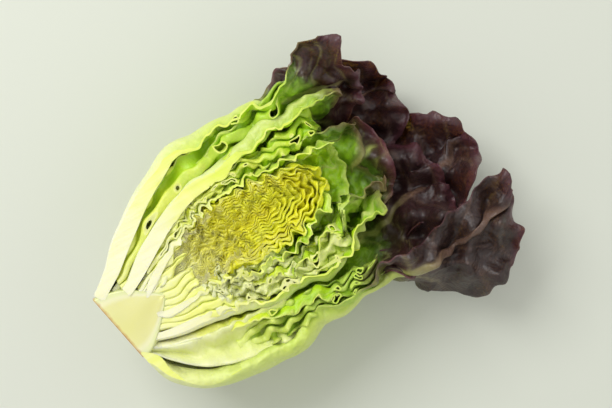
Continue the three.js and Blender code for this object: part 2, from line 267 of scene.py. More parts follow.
def middle(leaf, t, v):
    """The leaf's middle surface, from t = 0 at the root to 1 at the tip, and v = -1 to 1 across."""
    s = station(leaf, t * (1 - leaf["round"] * np.abs(v) ** 2.4))
    across = across_at(leaf, s, v)
    out = s["azimuth"] + s["roll"]
    side, drop = bent_profile(leaf, s, across, v, s["x"])
    margin = np.clip(1 - (1 - v * v) * (1 - smooth(0.7, 1, t)), 0, 1)
    theta = np.arctan2(v * leaf["half"], (t - 0.4) * leaf["tip"] * 0.8)
    folds, seed = leaf["folds"], leaf["seed"]
    broad = folds * theta + 2 * math.pi * chance(seed, 1)
    fine = folds * 1.7 * theta + 2 * math.pi * chance(seed, 2)
    tiny = np.sin(folds * 4.3 * theta + 2.2 * np.sin(folds * 1.1 * theta + seed) + 0.25 * s["x"])
    free = mix(0.35, 1, smooth(0.6, 0.9, t)) * smooth(0.25, 0.6, t)
    height = leaf["ruffle"] * free * mix(1, leaf["wild"], smooth(0.62, 0.85, t))
    folded = 0.6 * creased(broad, leaf["crisp"]) + 0.4 * creased(fine, leaf["crisp"])
    wave = height * (margin * folded + leaf["frill"] * margin ** 3 * tiny)
    slide = height * margin * (0.6 * np.cos(broad) + 0.4 * np.cos(fine)) * leaf["overhang"]
    x = s["x"] - slide * np.sin(theta) + leaf["lead"] * across * smooth(0.6, 0.95, t)
    side = side + slide * np.cos(theta)
    lift = wave - drop + crumple(s["x"], s["azimuth"] + s["curl"] * across, s["r"])
    y = s["r"] * np.sin(s["azimuth"]) + side * np.cos(out) + lift * np.sin(out)
    z = -s["r"] * np.cos(s["azimuth"]) + side * np.sin(out) - lift * np.cos(out)
    rib = np.clip(across / s["rib_half"], -1, 1)
    clasp = leaf["clasp"] * smooth(0, 0.1, t) * (1 - smooth(0.12, 0.42, t)) * (1 - 0.5 * v * v)
    swell = np.maximum(s["rib_height"] * (1 - rib * rib) ** 1.2, clasp)
    return settle(x, y, z), swell, 1 - np.abs(rib), margin, across


# %% [markdown]
# Inside the head the leaves are packed so tightly that they fold together. Pushing every point sideways by a
# wave that depends only on the other two directions can never make two layers cross, however high the wave
# is. Several such pushes, one after the other, fold the nested cups into the maze of the heart.

# %% Folds that all layers share
def ripples(a, b, size, seed):
    """Soft random hills over two directions."""
    return murmur(np.stack([a, b], axis=-1), size, seed, waves=6)


def fold_together(p, stiff=0):
    """Folds points of the head; where a stiff rib runs, it holds the sheet straight."""
    x, y, z = p[..., 0].copy(), p[..., 1].copy(), p[..., 2].copy()
    loose = 1 - 0.85 * stiff
    lean = AXIS_BEND * smooth(5, 55, x)
    r = np.hypot(y - lean, z)
    inside = loose * smooth(24, 46, x) * (1 - smooth(16, 30, r)) * (1 - 0.5 * smooth(95, 120, x))
    fine = 1 - 0.65 * smooth(54, 74, x)
    y = y + inside * (0.9 * ripples(x, 0.6 * z + 0.25 * r, 7, 1) + 0.4 * fine * ripples(x, z, 3.6, 2))
    x = x + inside * (0.8 * ripples(y, 0.7 * z, 6.5, 3) + 0.4 * fine * ripples(y, z, 3.4, 4))
    y = y + inside * fine * 0.35 * ripples(x, z, 2.8, 5)
    z = z + inside * (0.6 * ripples(x, y, 5, 6) + 0.35 * fine * ripples(x, y, 2.8, 7))
    outside = loose * smooth(45, 80, x) * smooth(14, 30, r)
    y = y + outside * (1.1 * ripples(x, 0.4 * z + 0.15 * r, 19, 8) + 0.45 * ripples(x, z, 8.5, 9))
    x = x + outside * (1.0 * ripples(y, 0.4 * z, 16, 10) + 0.4 * ripples(y, z, 8, 11))
    z = z + outside * (1.1 * ripples(x, y, 17, 12) + 0.45 * ripples(x, y, 8, 13))
    return np.stack([x, y, z], axis=-1)


def pleats(x, y):
    """The free ends of the leaves stand in deep pleats: how far a place is lifted, mm."""
    deep = 3.2 * np.sin(0.2 * x + 0.25 * y + 1.0) + 1.8 * np.sin(0.44 * x - 0.31 * y)
    return smooth(92, 116, x) * deep


# %% [markdown]
# Between its veins a lettuce blade puffs up in blisters. The same field makes the blisters and the veins: its
# size is the height, and the lines where it passes through zero are the creases, where the veins run. Side
# veins branch off the midrib at a slant, and a finer net fills the space between them.

# %% Veins and blisters
VEIN_SPACING = 11  # from one side vein to the next along the midrib, mm


def creases(leaf, points, t, across):
    """Height of the blisters from 0 to 1, and the vein mask."""
    length = t * leaf["tip"]
    bend = 0.5 * murmur(points, 30, leaf["seed"] + 3)
    side_vein = np.sin(math.pi * (length - 0.75 * np.abs(across)) / VEIN_SPACING + bend)
    net = murmur(points, 10, leaf["seed"] + 5)
    field = np.minimum(np.abs(side_vein) * 1.3, np.abs(net))
    vein = np.exp(-((side_vein / 0.16) ** 2)) + 0.5 * np.exp(-((net / 0.13) ** 2))
    return np.minimum(field, 1.2), vein


def grid_normals(points):
    along = np.gradient(points, axis=0)
    over = np.gradient(points, axis=1)
    normal = np.cross(over, along)
    return normal / np.maximum(np.linalg.norm(normal, axis=-1, keepdims=True), 1e-9)


# %% [markdown]
# Each leaf is two grids of points, its outer and its inner face, joined round the rim, so it has a real
# thickness: thin at the margin, and fleshy along the midrib, which swells outwards only. It gets that before
# the shared folds, because a sheet thickened after tight folding would cross itself. Numbers that the colours
# need later, such as how close a point is to the rib, are stored on the points as attributes.

# %% A leaf as a closed shell
def shell(leaf):
    rows, columns = leaf["rows"], leaf["columns"]
    t, k = np.meshgrid(np.linspace(0, 1, rows) ** 0.85, np.linspace(-1, 1, columns), indexing="ij")
    v = np.sign(k) * np.abs(k) ** 1.1
    points, swell, rib, margin, across = middle(leaf, t, v)
    height, vein = creases(leaf, points, t, across)
    normal = grid_normals(points)
    puffed = leaf["blister"] * smooth(0.2, 0.5, t) * (1 - smooth(0.2, 0.9, rib)) * height
    points = points - normal * puffed[..., None]
    normal = grid_normals(points)
    half = BLADE * mix(0.5, 0.3, margin ** 2)
    stiff = smooth(0.05, 0.5, rib) * (1 - smooth(leaf["firm"], leaf["firm"] + 0.4, t))
    outer = fold_together(points + normal * (half + swell)[..., None], stiff)
    inner = fold_together(points - normal * half[..., None], stiff)
    values = {
        "edge": np.abs(v) * np.ones_like(t),
        "tip": t,
        "rib": np.clip(rib, 0, 1) * (1 - smooth(0.9, 1, t)),
        "vein": np.clip(vein, 0, 1) * smooth(0.2, 0.4, t),
    }
    return outer, inner, values


def read(items, key, kind, width=1):
    """One number, or a few, of every item of a mesh as an array."""
    values = np.empty(len(items) * width, dtype=kind)
    items.foreach_get(key, values)
    return values


def corner_points(mesh):
    return read(mesh.loops, "vertex_index", np.int32)


def keep_on_corners(mesh, values):
    """Stores a number of every point on the corners of the faces, where a cut keeps it."""
    index = corner_points(mesh)
    for key, value in values.items():
        kept = mesh.attributes.new(key, "FLOAT", "CORNER")
        kept.data.foreach_set("value", value[index].astype(np.float32))


def shell_mesh(name, outer, inner, values):
    rows, columns = outer.shape[:2]
    index = np.arange(rows * columns).reshape(rows, columns)
    quads = np.stack([index[:-1, :-1], index[1:, :-1], index[1:, 1:], index[:-1, 1:]], axis=-1)
    quads = quads.reshape(-1, 4)
    rim = np.concatenate([index[0, :-1], index[:-1, -1], index[-1, :0:-1], index[:0:-1, 0]])
    after = np.roll(rim, -1)
    second = rows * columns
    walls = np.stack([rim, after, after + second, rim + second], axis=-1)
    faces = np.concatenate([quads[:, ::-1], quads + second, walls[:, ::-1]])
    mesh = bpy.data.meshes.new(name)
    points = np.concatenate([outer.reshape(-1, 3), inner.reshape(-1, 3)])
    mesh.from_pydata(points.tolist(), [], faces.tolist())
    stored = {key: np.tile(value.reshape(-1), 2) for key, value in values.items()}
    stored["outer"] = np.repeat([1.0, 0.0], second)
    keep_on_corners(mesh, stored)
    return mesh


# %% [markdown]
# The knife cuts every layer at one height, but the leaves spring up a little afterwards. So the knife's
# surface here is slightly uneven: the mesh is lowered by soft hills, cut flat, capped, and raised again. The
# caps are split into triangles while they are flat, since a bent face with hundreds of corners would fill
# wrongly. They get a finish of their own, because cut flesh is paler and wetter than skin.

# %% The knife
TIPS_FROM, TIPS_TO = 86, 118  # along the axis, where the free tips begin to stand up and where they do fully
BLOCK_WIDTH = 300
BLOCK_BOTTOM = -80


def hills(x, y, rise, rough):
    """How far the cut face stands proud at a place, mm."""
    return rough * ripples(x, y, 9, 4) * smooth(20, 45, x) + rise * smooth(TIPS_FROM, TIPS_TO, x)


def block_below(top, trim):
    """What the knife leaves: a block under the cut face, whose near end is askew like the butt."""
    corners = [(trim - BUTT_SLANT * y + far * BLOCK_WIDTH, y, z)
               for y in (-BLOCK_WIDTH, BLOCK_WIDTH) for far in (0, 1)
               for z in (BLOCK_BOTTOM, CUT_HEIGHT + top)]
    faces = [(0, 2, 3, 1), (4, 5, 7, 6), (0, 1, 5, 4), (2, 6, 7, 3), (0, 4, 6, 2), (1, 3, 7, 5)]
    mesh = bpy.data.meshes.new("knife_block")
    mesh.from_pydata(corners, [], faces)
    mesh.materials.append(None)
    mesh.materials.append(None)
    mesh.polygons.foreach_set("material_index", [1] * len(faces))
    return mesh


def baked(host):
    """The host's evaluated result as a plain mesh, with the modifiers gone."""
    bpy.context.view_layer.update()
    mesh = bpy.data.meshes.new_from_object(host.evaluated_get(bpy.context.evaluated_depsgraph_get()))
    bpy.data.objects.remove(host)
    return mesh


def new_object(name, mesh):
    made = bpy.data.objects.new(name, mesh)
    bpy.context.scene.collection.objects.link(made)
    return made


def coordinates(mesh):
    return read(mesh.vertices, "co", np.float32, 3).reshape(-1, 3).astype(float)


def place_points(mesh, points):
    mesh.vertices.foreach_set("co", points.astype(np.float32).ravel())
    mesh.update()


def cap_corners(mesh):
    """Which corners belong to the cut faces."""
    material = read(mesh.polygons, "material_index", np.int32)
    return np.repeat(material, read(mesh.polygons, "loop_total", np.int32)) == 1


def colour_caps(mesh):
    """Gives the corners of the cut faces the numbers of the skin that they meet."""
    index = corner_points(mesh)
    cap = cap_corners(mesh)
    count = np.maximum(1, np.bincount(index[~cap], minlength=len(mesh.vertices)))
    for layer in mesh.attributes:
        if layer.domain == "CORNER" and layer.data_type == "FLOAT":
            value = read(layer.data, "value", np.float32)
            mean = np.bincount(index[~cap], weights=value[~cap], minlength=len(mesh.vertices)) / count
            value[cap] = mean[index[cap]]
            layer.data.foreach_set("value", value)


def sharpen_cuts(mesh):
    """Marks the border of the cut faces as sharp, so that their shading doesn't roll over into the skin."""
    edge = read(mesh.loops, "edge_index", np.int32)
    cap = cap_corners(mesh)
    beside_cap = np.bincount(edge[cap], minlength=len(mesh.edges)) > 0
    beside_skin = np.bincount(edge[~cap], minlength=len(mesh.edges)) > 0
    mesh.edges.foreach_set("use_edge_sharp", beside_cap & beside_skin)


def knife(mesh, top, rise, rough, skin, flesh):
    """Cuts a mesh in the head's frame along the cut face and the butt, and moves it to its place."""
    p = coordinates(mesh)
    p[:, 2] -= hills(p[:, 0], p[:, 1], rise, rough)
    place_points(mesh, p)
    mesh.polygons.foreach_set("use_smooth", [True] * len(mesh.polygons))
    mesh.materials.clear()
    mesh.materials.append(skin)
    mesh.materials.append(flesh)
    host = new_object("uncut", mesh)
    block = new_object("block", block_below(top, TRIM))
    cut = host.modifiers.new("knife", "BOOLEAN")
    cut.solver = "MANIFOLD"
    cut.operation = "INTERSECT"
    cut.object = block
    split = host.modifiers.new("split_caps", "TRIANGULATE")
    split.min_vertices = 5
    mesh = baked(host)
    bpy.data.objects.remove(block)
    colour_caps(mesh)
    sharpen_cuts(mesh)
    p = coordinates(mesh)
    p[:, 2] += hills(p[:, 0], p[:, 1], rise, rough) + pleats(p[:, 0], p[:, 1])
    p[:, 2] = np.maximum(p[:, 2], REST_PLACE[2])
    place_points(mesh, (p - REST_PLACE) * MM)
    return mesh


# %% [markdown]
# One finish serves all leaves. How ripe a place is runs from the pale root to the dark tip, and a ramp turns
# that into colour: white, yellow-green, green, olive, dark red. The midrib and the veins follow paler ramps
# of their own, the leaf's outer face is duller than its inner one, and the rim of a dark leaf is pinkish. The
# outer face's darkest red is its own browner tone, deepened further as painted shade.

# %% Helpers for shader nodes
def shader(name, roughness, coat):
    material = bpy.data.materials.new(name)
    material.use_nodes = True
    tree = material.node_tree
    surface = tree.nodes["Principled BSDF"]
    surface.inputs["Roughness"].default_value = roughness
    surface.inputs["Coat Weight"].default_value = coat
    surface.inputs["Coat Roughness"].default_value = 0.25
    surface.inputs["Subsurface Weight"].default_value = 0.35
    surface.inputs["Subsurface Radius"].default_value = (1.0, 0.95, 0.4)
    surface.inputs["Subsurface Scale"].default_value = 0.0015
    return material, tree, surface


def plug(tree, value, socket):
    if hasattr(value, "is_output"):
        tree.links.new(value, socket)
    else:
        socket.default_value = value


def maths(tree, operation, *values, clamp=False):
    node = tree.nodes.new("ShaderNodeMath")
    node.operation = operation
    node.use_clamp = clamp
    for socket, value in zip(node.inputs, values):
        plug(tree, value, socket)
    return node.outputs[0]


def attribute(tree, name):
    node = tree.nodes.new("ShaderNodeAttribute")
    node.attribute_name = name
    return node.outputs["Fac"]


def ramp(tree, value, stops):
    node = tree.nodes.new("ShaderNodeValToRGB")
    node.color_ramp.interpolation = "EASE"
    elements = node.color_ramp.elements
    while len(elements) < len(stops):
        elements.new(0.5)
    for element, (place, code) in zip(elements, stops):
        element.position = place
        element.color = srgb(code)
    plug(tree, value, node.inputs["Fac"])
    return node.outputs["Color"]


def blend(tree, share, a, b):
    node = tree.nodes.new("ShaderNodeMix")
    node.data_type = "RGBA"
    plug(tree, share, node.inputs["Factor"])
    plug(tree, a, node.inputs["A"])
    plug(tree, b, node.inputs["B"])
    return node.outputs["Result"]


def mottle(tree, scale, detail=3.0, stretch=None):
    """Procedural noise on the piece's own coordinates."""
    where = tree.nodes.new("ShaderNodeTexCoord").outputs["Object"]
    if stretch:
        mapping = tree.nodes.new("ShaderNodeMapping")
        mapping.inputs["Scale"].default_value = stretch
        tree.links.new(where, mapping.inputs["Vector"])
        where = mapping.outputs["Vector"]
    node = tree.nodes.new("ShaderNodeTexNoise")
    node.inputs["Scale"].default_value = scale
    node.inputs["Detail"].default_value = detail
    tree.links.new(where, node.inputs["Vector"])
    return node.outputs["Fac"]


def relief(tree, surface, height, distance, strength=0.6):
    node = tree.nodes.new("ShaderNodeBump")
    node.inputs["Strength"].default_value = strength
    node.inputs["Distance"].default_value = distance
    tree.links.new(height, node.inputs["Height"])
    tree.links.new(node.outputs["Normal"], surface.inputs["Normal"])


# %% [markdown]
# The ramps are the palette of the head. Ripeness is stored on the points, and a little noise on it makes the
# borders between the colours ragged, as they are on a real leaf.

# %% The finish of a leaf
def leaf_finish(name, roughness, coat, wrinkle, blade, rib, under, net):
    material, tree, surface = shader(name, roughness, coat)
    ripe = attribute(tree, "ripe")
    coarse = maths(tree, "MULTIPLY_ADD", mottle(tree, 90), 0.24, -0.12)
    fine = maths(tree, "MULTIPLY_ADD", mottle(tree, 420), 0.12, -0.06)
    ragged = maths(tree, "ADD", maths(tree, "ADD", ripe, coarse), fine, clamp=True)
    faces = [blend(tree, maths(tree, "MULTIPLY", attribute(tree, "vein"), net), ramp(tree, ragged, tones),
                   ramp(tree, ripe, rib)) for tones in (blade, under)]
    skin = blend(tree, attribute(tree, "outer"), *faces)
    along_rib = maths(tree, "SMOOTH_MIN", attribute(tree, "rib_mask"), 1.0, 0.1)
    skin = blend(tree, along_rib, skin, ramp(tree, ripe, rib))
    rim = maths(tree, "MULTIPLY", attribute(tree, "rim"), 0.6)
    skin = blend(tree, rim, skin, ramp(tree, ripe, RIM_TONES))
    tree.links.new(skin, surface.inputs["Base Color"])
    sunk = maths(tree, "MULTIPLY", attribute(tree, "vein"), -0.6)
    wrinkled = maths(tree, "MULTIPLY_ADD", mottle(tree, 190, 2), wrinkle, mottle(tree, 600, 4))
    relief(tree, surface, maths(tree, "ADD", wrinkled, sunk), 0.0007)
    return material


RIM_TONES = [(0, "f4f6e2"), (0.35, "e6ec92"), (0.6, "cfe070"), (0.74, "8a7a4a"), (0.85, "74404a"),
             (1, "5a2f38")]
BLADE_TONES = [(0, "f2f2cc"), (0.16, "e8ec7c"), (0.32, "dae832"), (0.5, "b4dc1c"), (0.63, "86b41a"),
               (0.72, "5c7a22"), (0.8, "3c2a1b"), (0.88, "361a18"), (1, "2b1415")]
RIB_TONES = [(0, "f3f3d2"), (0.3, "e6ecac"), (0.55, "cddd78"), (0.74, "b2c05e"), (0.9, "948a5a"),
             (1, "6c5244")]
# The outer face: its own duller tones, with the darkest red end deepened as painted shade.
UNDER_TONES_WITH_SHADE = [(0, "f3f4d4"), (0.25, "e6ec9c"), (0.45, "cfe25c"), (0.6, "a6c840"), (0.72, "6a6a36"),
               (0.84, "46302a"), (1, "2c1b18")]
red_skin = leaf_finish("red_tipped_leaf", 0.46, 0.15, 3.5, BLADE_TONES, RIB_TONES, UNDER_TONES_WITH_SHADE, 0.4)
green_skin = leaf_finish("green_leaf", 0.45, 0.12, 1.0, BLADE_TONES, RIB_TONES, UNDER_TONES_WITH_SHADE, 0.5)


def flesh_finish(name, tones):
    material, tree, surface = shader(name, 0.38, 0.25)
    uneven = maths(tree, "MULTIPLY_ADD", mottle(tree, 60), 0.2, -0.1)
    ripe = maths(tree, "ADD", attribute(tree, "ripe"), uneven)
    streaks = mottle(tree, 420, 4, (0.1, 1, 1))
    skin = ramp(tree, ripe, tones)
    streaked = maths(tree, "MULTIPLY_ADD", streaks, 1.6, -0.55, clamp=True)
    skin = blend(tree, streaked, skin, ramp(tree, ripe, PALE_TONES))
    tree.links.new(skin, surface.inputs["Base Color"])
    relief(tree, surface, streaks, 0.0005)
    return material


PALE_TONES = [(0, "f6f5da"), (0.4, "f2f5a2"), (0.66, "d8ea66"), (0.8, "6a5038"), (1, "4c2e30")]
FLESH_TONES = [(0, "f1efc2"), (0.25, "ebef82"), (0.45, "dfee50"), (0.66, "b8da46"), (0.78, "5a4428"),
               (1, "3a2022")]
cut_flesh = flesh_finish("cut_leaf_flesh", FLESH_TONES)
print("leaf finishes:", red_skin.name, green_skin.name, cut_flesh.name)

# %% [markdown]
# Now the leaves themselves, with nearly the same numbers as their solids. Each line gives a leaf's azimuth round the
# axis (0 is straight down, 90 to the left), its radius, where its tip ends and its half width. The outer ones
# open and roll over at the far end, and turn red there.

# %% The table of leaves
def leaf(name, azimuth, radius, tip, half, **more):
    outer_share = smooth(26, 42, radius)
    one = {
        "name": name, "azimuth": azimuth, "radius": radius, "tip": tip, "half": half,
        "rib": mix(1.2, 5, ((radius - INNERMOST) / (OUTERMOST - INNERMOST)) ** 1.6),
        "ends": [1.02, 0.95, 0.7], "drift": 0, "roll": 0, "skew": 0, "curl": 1, "round": 0.22,
        "ruffle": 1.5, "folds": 8, "seed": azimuth + radius, "top": 0, "rise": 0,
        "frill": 0.5, "blister": 0.9, "rows": 132, "columns": 64, "ripe": (30, 120), "slot": "green_leaf",
        "rib_end": 0.6, "taper": 0.12, "wild": 1, "overhang": 0.8, "rim_curl": 0.6, "rim_from": 0.72,
        "clasp": 2, "firm": 0.3, "crisp": 0.8, "lobe": 0, "lead": 0, "rough": 0.12,
        "climb": [mix(0.3, 0.66, outer_share), mix(0.74, 0.95, outer_share)],
    }
    one.update(more)
    return one


large = {"ruffle": 3, "rows": 142, "columns": 74, "ripe": (20, 106), "slot": "red_leaf", "blister": 0.5,
         "frill": 0.25, "rise": 7, "wild": 1.6, "rim_curl": 1.6, "crisp": 0.995}
ruffled = {"ruffle": 3.2, "folds": 6, "wild": 1.5, "blister": 0.5, "rough": 0.3}
LEAVES = [
    leaf("outer_leaf_back", -4, 46, 116, 46, **{**large, "rib": 7, "ends": [1, 0.92, 0.8], "ruffle": 2}),
    leaf("outer_leaf_right", -80, 43.5, 157, 21, **{
        **large, "ends": [0.88, 0.98, 0.8], "roll": -84, "skew": 0.25, "curl": 0.2, "round": 0.03, "rib": 7,
        "taper": 0.25, "rib_end": 0.22, "wild": 1, "firm": 0.6, "clasp": 0, "lobe": 0.5, "lead": -0.3,
        "ripe": (-15, 106)}),
    leaf("outer_leaf_left", 84, 39, 128, 34, **{
        **large, "ends": [1.08, 1, 0.93], "rise": 9, "roll": -42, "curl": 0.5, "rib": 7, "taper": 0.3,
        "firm": 0.6, "climb": [0.47, 0.96], "ripe": (20, 112)}),
    leaf("outer_leaf_under", -8, 38, 156, 30, **{
        **large, "ends": [1, 0.86, 0.55], "drift": -20, "curl": 0.5}),
    leaf("red_leaf_left", 44, 32.5, 140, 31, **{
        **large, "ends": [1.1, 1.15, 1], "roll": -24, "curl": 0.5, "rim_curl": -2.2, "frill": 0.5}),
    leaf("red_leaf_right", -44, 31, 138, 30, **{
        **large, "ends": [1, 0.98, 0.8], "roll": 16, "curl": 0.5, "rim_curl": -2.2, "frill": 0.5}),
    leaf("green_leaf_left", 90, 26, 118, 28, ends=[1.08, 1.28, 1.2], top=0.4, rib=5.5, taper=0.55, rise=3,
         firm=0.6),
    leaf("green_leaf_under", 4, 23.3, 124, 26, rise=3, **ruffled),
    leaf("green_leaf_left_low", 46, 21, 118, 20, rise=3, rim_curl=-2.4, **ruffled),
    leaf("green_leaf_right", -86, 25.5, 112, 24, top=-0.3, rib=3.4, taper=0.3, rise=3, **ruffled),
    leaf("green_leaf_right_low", -42, 19, 118, 19.5, rise=3, rim_curl=-2.4, **ruffled),
    leaf("lime_leaf_left", 86, 17, 106, 21, top=0.2, slot="lime_leaf", rib=1.1, rough=0.3),
    leaf("lime_leaf_under", 14, 14.6, 106, 19, slot="lime_leaf"),
    leaf("lime_leaf_right", -76, 16.6, 95, 17, top=0.3, slot="lime_leaf", rib=1.4, rough=0.6, ruffle=3.2,
         folds=9, wild=1.4),
]

# %% [markdown]
# Ripeness grows with the distance along the head, and faster towards a leaf's margin and tip, so that a dark
# leaf keeps a green middle. The object that carries a leaf stays at the origin, with its place in its mesh.

# %% Grow, cut and place every leaf
SHADED = ("ripe", "rib_mask", "rim", "vein")  # the numbers that the finishes read


def ripeness(one, outer, values):
    white_until, red_from = one["ripe"]
    x = outer[..., 0]
    ripe = 0.5 * smooth(white_until - 15, white_until + 50, x)
    ripe = ripe + 0.5 * smooth(red_from - 30, red_from + 22, x + 9 * values["edge"] ** 2)
    return ripe


def triangle_count(mesh):
    return sum(len(face.vertices) - 2 for face in mesh.polygons)


def piece(name, mesh, node):
    made = new_object(name, mesh)
    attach(made, "root")
    if node:
        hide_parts(node)
    return made


for one in LEAVES:
    outer, inner, values = shell(one)
    values["ripe"] = ripeness(one, outer, values)
    values["rib_mask"] = smooth(0.05, 0.6, values["rib"]) * (1 - 0.25 * smooth(100, 140, outer[..., 0]))
    values["rim"] = smooth(0.955, 0.99, np.maximum(values["edge"], values["tip"]))
    mesh = shell_mesh(one["name"] + "_mesh", outer, inner, {key: values[key] for key in SHADED})
    skin = red_skin if one["slot"] == "red_leaf" else green_skin
    mesh = knife(mesh, one["top"], one["rise"], one["rough"], skin, cut_flesh)
    piece(one["name"] + "_grown", mesh, one["name"])
    print(one["name"], triangle_count(mesh), "triangles")

# %% [markdown]
# A blade is wider than the gap that it grew in, so its sides are tucked into the gaps among the ribs, pleated
# like a curtain. The knife opens some of the pleats and misses others, which gives the pairs of thin pale
# edges and the rounded folds between the ribs. A strip of pleats runs here from one radius to another, along
# the head. Its own cut lies a little lower than the leaves', so that no two cut faces share one height.

# %% Pleated blades tucked between the ribs
STRIP_ROUGH = 0.12  # how uneven the cut is, mm


def tucked(name, node, side, span, inner_radii, outer_radii, **more):
    """A pleated strip between two layers, on the left (1) or the right (-1) of the axis."""
    one = {"pleats": 2, "depth": 5, "top": 0, "sway": 0.13, "thick": 0.5, "late": 0, "rows": 180,
           "columns": 44, "slant": 0, "ripe": (0.1, 0.5), "slot": "lime_leaf", "wobble": 0.16,
           "swell": 1.3, "level": -0.1, "seed": span[0] + 7}
    one.update(more)
    u, s = np.meshgrid(np.linspace(0, 1, one["rows"]), np.linspace(0, 1, one["columns"]), indexing="ij")
    x = mix(span[0], span[1], u)
    low, high = spline(inner_radii, u), spline(outer_radii, u)
    seed = one["seed"]
    wander = one["wobble"] * ripples(x, 12 * s, 11, seed) + one["slant"] * x
    phase = 2 * math.pi * (one["pleats"] * s + wander)
    gap = (high - low) / one["pleats"]
    r = mix(low, high, s) + one["sway"] * gap * np.sin(2 * phase)
    calm = smooth(0, 0.25, u)
    swelling = one["swell"] * calm * ripples(x, 9 * s, 8, seed + 1)
    top = CUT_HEIGHT + spline(np.atleast_1d(one["top"]) * np.ones(2), u) + swelling
    depth = one["depth"] * mix(0.5, 1, calm) * (1 + 0.3 * ripples(x, 5 * s, 15, seed + 2))
    z = top - depth * (0.5 - 0.5 * np.cos(phase)) - 3 * smooth(0.95, 1, np.maximum(u, np.abs(2 * s - 1)))
    z = z - one["late"] * (1 - smooth(0, 0.3, u))
    y = side * np.sqrt(np.maximum(r * r - z * z, 0.2))
    points = settle(x, y, z)
    thick = grid_normals(points) * one["thick"] / 2
    # Painted light on the pleat crests (rib and rim tones) and painted shade in the troughs (riper).
    crest = 0.5 + 0.5 * np.cos(phase)
    values = {"ripe": mix(*one["ripe"], u ** 0.8) + 0.08 * (1 - crest), "rib_mask": 0.3 * crest * (1 - u),
              "vein": 0 * u, "rim": 0.25 * smooth(0.6, 1, crest)}
    mesh = shell_mesh(name + "_mesh", fold_together(points + thick), fold_together(points - thick), values)
    mesh = knife(mesh, one["level"], 0, STRIP_ROUGH, green_skin, cut_flesh)
    piece(name, mesh, node)
    print(name, triangle_count(mesh), "triangles")


tucked("pleats_outer_left", "outer_leaf_left", 1, (9, 104), (12.5, 19.5, 26.5, 31, 35),
       (19, 34.5, 41.3, 43.3, 45), pleats=2, depth=4, top=(-1, -2.5), ripe=(0.2, 0.58), wobble=0.12)
tucked("pleats_inner_left", "green_leaf_left", 1, (14, 104), (6.5, 13, 17.6, 18.6, 20),
       (9.8, 18.8, 24.5, 28.5, 32), pleats=2, depth=3.5, top=(-0.2, -1.2), slant=0.1, ripe=(0.05, 0.5),
       swell=0.8, wobble=0.2)
tucked("pleats_heart_left", "lime_leaf_left", 1, (13, 46), (3.5, 6, 12.2), (7.5, 11.5, 16),
       pleats=2, depth=3, top=(-0.3, -1), ripe=(0.02, 0.25), swell=0.5, rows=80, columns=36)
tucked("pleats_heart_right", "lime_leaf_right", -1, (30, 70), (8, 11, 13.6), (13, 15, 17),
       pleats=1, depth=2.6, top=(-1.2, -1.6), ripe=(0.1, 0.3), swell=0.8, level=-0.15, rows=90, columns=36)
tucked("pleats_inner_right", "green_leaf_right", -1, (36, 94), (14, 16.5, 17.2, 16), (19.5, 24.3, 25, 24.5),
       pleats=2, depth=4, ripe=(0.14, 0.36), top=(-1, -1.8), swell=1.2, rows=140)
tucked("pleats_outer_right", "outer_leaf_right", -1, (36, 98), (27, 29, 30), (40.5, 39, 36.5),
       pleats=3, depth=5, ripe=(0.36, 0.68), top=(-2.5, -1), swell=1.8, late=4, rows=150)
tucked("trough_right", "outer_leaf_right", -1, (3, 62), (12, 20, 25, 27), (14.3, 31.5, 40.3, 42),
       pleats=1, depth=5, ripe=(0.05, 0.34), top=(-1.5, -4), swell=0.6, wobble=0.02, sway=0, level=-0.2,
       rows=90, columns=40)

# %% [markdown]
# Between the heart and the ribs on the right the knife ran along the flesh where several ribs grow together.
# It shows there as a pale fan: nearly flat, with creases that start at the core and deepen outwards. A grid
# with the creases pressed into it does for this, because nobody can see below the first millimetre.

# %% The fan of ribs beside the heart
FAN_LEVEL = -0.05  # its cut against that of the leaves, mm
FAN_THICKNESS = 2.2


def rib_fan(name, node, span, right_edge, left_edge, ribs):
    u, s = np.meshgrid(np.linspace(0, 1, 84), np.linspace(0, 1, 96), indexing="ij")
    x = mix(*span, u)
    y = mix(spline(right_edge, u), spline(left_edge, u), s)
    ridge = np.abs(np.sin(math.pi * (ribs * s + 0.22 * ripples(x, 12 * s, 14, 31))))
    top = CUT_HEIGHT - 0.4 - mix(0.3, 2.2, u) * (1 - smooth(0, 0.5, ridge))
    far = u * mix(1, 1.5, smooth(0.35, 0.9, s))
    top = top - 5 * smooth(0.72, 1, far + 0.12 * ripples(8 * s, 0.2 * x, 2, 32))
    top = top - 2.5 * smooth(0.93, 1, np.abs(2 * s - 1)) + 0.1 * ripples(x, y, 5, 33) * u
    upper = fold_together(np.stack([x, y, top], axis=-1), 0.6)
    lower = upper - np.array([0, 0, FAN_THICKNESS])
    # Painted shade: the creases are made riper and greener, more so outwards where they deepen.
    ripe = 0.12 + 0.25 * u ** 1.5 + 0.15 * (1 - ridge) * u
    mesh = shell_mesh(name + "_mesh", lower, upper, {"ripe": ripe})
    mesh = knife(mesh, FAN_LEVEL, 0, STRIP_ROUGH, cut_flesh, cut_flesh)
    piece(name, mesh, node)
    print(name, triangle_count(mesh), "triangles")


rib_fan("rib_fan", "lime_leaf_right", (9, 50), (-8, -12, -16, -19), (8, 10, 13, 6), 8.5)

# %% [markdown]
# The heart is a bud of small leaves, nested like cups and folded like crumpled paper. Geometry Nodes suit it,
# because one rule makes every layer: a flat grid is copied once for each layer, and each copy is bent round
# the axis at its own radius. A curve closes the cups at both ends. The tree ends in Realize Instances and Set
# Material, and its result is baked into a plain mesh before the folds are put in.

